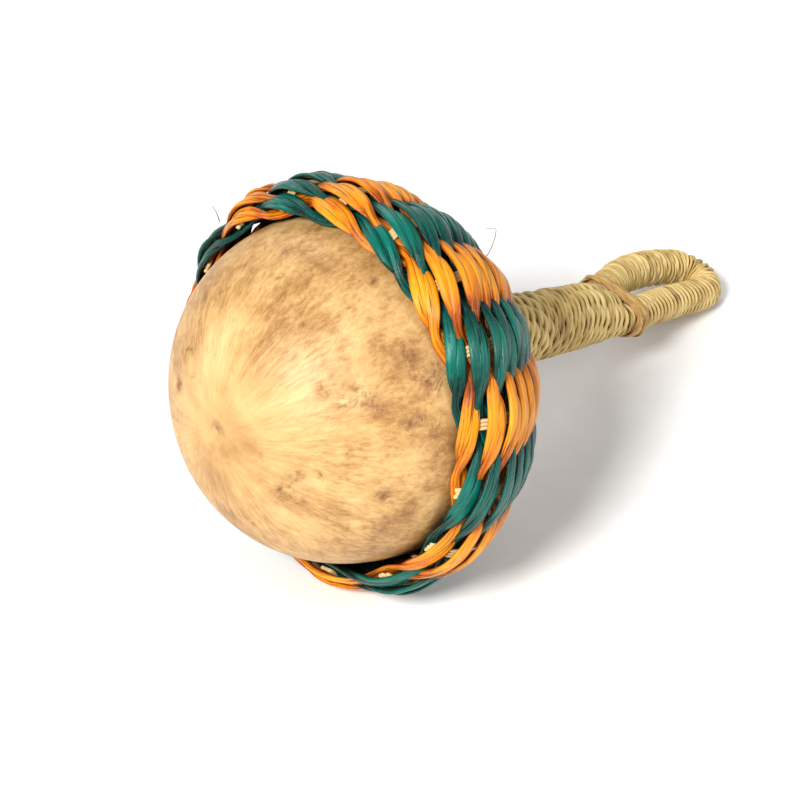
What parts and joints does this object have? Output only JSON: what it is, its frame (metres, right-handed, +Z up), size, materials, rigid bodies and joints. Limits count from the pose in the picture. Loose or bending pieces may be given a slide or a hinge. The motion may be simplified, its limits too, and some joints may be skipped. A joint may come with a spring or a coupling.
{
  "type": "rattle",
  "caption": "Hand rattle: a half gourd set in a flared twined basket of two-colour straw, on a fibre-wrapped handle with a hanging loop; loose seeds inside.",
  "frame": {"origin": "on the surface that the rattle lies on, under the middle of its outer box", "axes": "+Z up; +X from the gourd towards the handle and its loop; +Y to the side of the loop's wider strand"},
  "size_m": [0.2344, 0.1226, 0.1207],
  "materials": {
    "gourd": "smooth dried gourd skin, satin, mottled",
    "orange_straw": "dyed plant straw, satin",
    "green_straw": "dyed plant straw, glossy",
    "cane": "split cane, matte",
    "raffia": "natural twisted fibre, satin",
    "lashing": "natural twisted fibre, darker",
    "seed": "hard dry seed, satin"
  },
  "bodies": {
    "rattle": {"gourd_dome": "gourd", "stake_01": "cane", "stake_02": "cane", "stake_03": "cane", "stake_04": "cane", "stake_05": "cane", "stake_06": "cane", "stake_07": "cane", "stake_08": "cane", "stake_09": "cane", "stake_10": "cane", "stake_11": "cane", "stake_12": "cane", "stake_13": "cane", "stake_14": "cane", "stake_15": "cane", "stake_16": "cane", "weft_orange_01": "orange_straw", "weft_green_01": "green_straw", "weft_orange_02": "orange_straw", "weft_green_02": "green_straw", "weft_orange_03": "orange_straw", "weft_green_03": "green_straw", "weft_orange_04": "orange_straw", "weft_green_04": "green_straw", "weft_orange_05": "orange_straw", "weft_green_05": "green_straw", "weft_orange_06": "orange_straw", "weft_green_06": "green_straw", "weft_orange_07": "orange_straw", "weft_green_07": "green_straw", "weft_orange_08": "orange_straw", "weft_green_08": "green_straw", "weft_orange_09": "orange_straw", "weft_green_09": "green_straw", "weft_orange_10": "orange_straw", "weft_green_10": "green_straw", "weft_orange_11": "orange_straw", "weft_green_11": "green_straw", "weft_orange_12": "orange_straw", "weft_green_12": "green_straw", "weft_orange_13": "orange_straw", "weft_green_13": "green_straw", "handle_core": "cane", "handle_wrap": "raffia", "loop_core": "cane", "loop_wrap": "raffia", "loop_lashing": "lashing"},
    "seed_1": {"seed_1": "seed"},
    "seed_2": {"seed_2": "seed"},
    "seed_3": {"seed_3": "seed"},
    "seed_4": {"seed_4": "seed"},
    "seed_5": {"seed_5": "seed"},
    "seed_6": {"seed_6": "seed"},
    "seed_7": {"seed_7": "seed"},
    "seed_8": {"seed_8": "seed"}
  },
  "joints": [
    {"name": "seed_1_hop", "type": "slide", "parent": "rattle", "child": "seed_1", "axis": [0, 0, 1], "range_m": [0, 0.0447]},
    {"name": "seed_2_hop", "type": "slide", "parent": "rattle", "child": "seed_2", "axis": [0, 0, 1], "range_m": [0, 0.0627]},
    {"name": "seed_3_hop", "type": "slide", "parent": "rattle", "child": "seed_3", "axis": [0, 0, 1], "range_m": [0, 0.0735]},
    {"name": "seed_4_hop", "type": "slide", "parent": "rattle", "child": "seed_4", "axis": [0, 0, 1], "range_m": [0, 0.0803]},
    {"name": "seed_5_hop", "type": "slide", "parent": "rattle", "child": "seed_5", "axis": [0, 0, 1], "range_m": [0, 0.0447]},
    {"name": "seed_6_hop", "type": "slide", "parent": "rattle", "child": "seed_6", "axis": [0, 0, 1], "range_m": [0, 0.0627]},
    {"name": "seed_7_hop", "type": "slide", "parent": "rattle", "child": "seed_7", "axis": [0, 0, 1], "range_m": [0, 0.0735]},
    {"name": "seed_8_hop", "type": "slide", "parent": "rattle", "child": "seed_8", "axis": [0, 0, 1], "range_m": [0, 0.0803]}
  ]
}
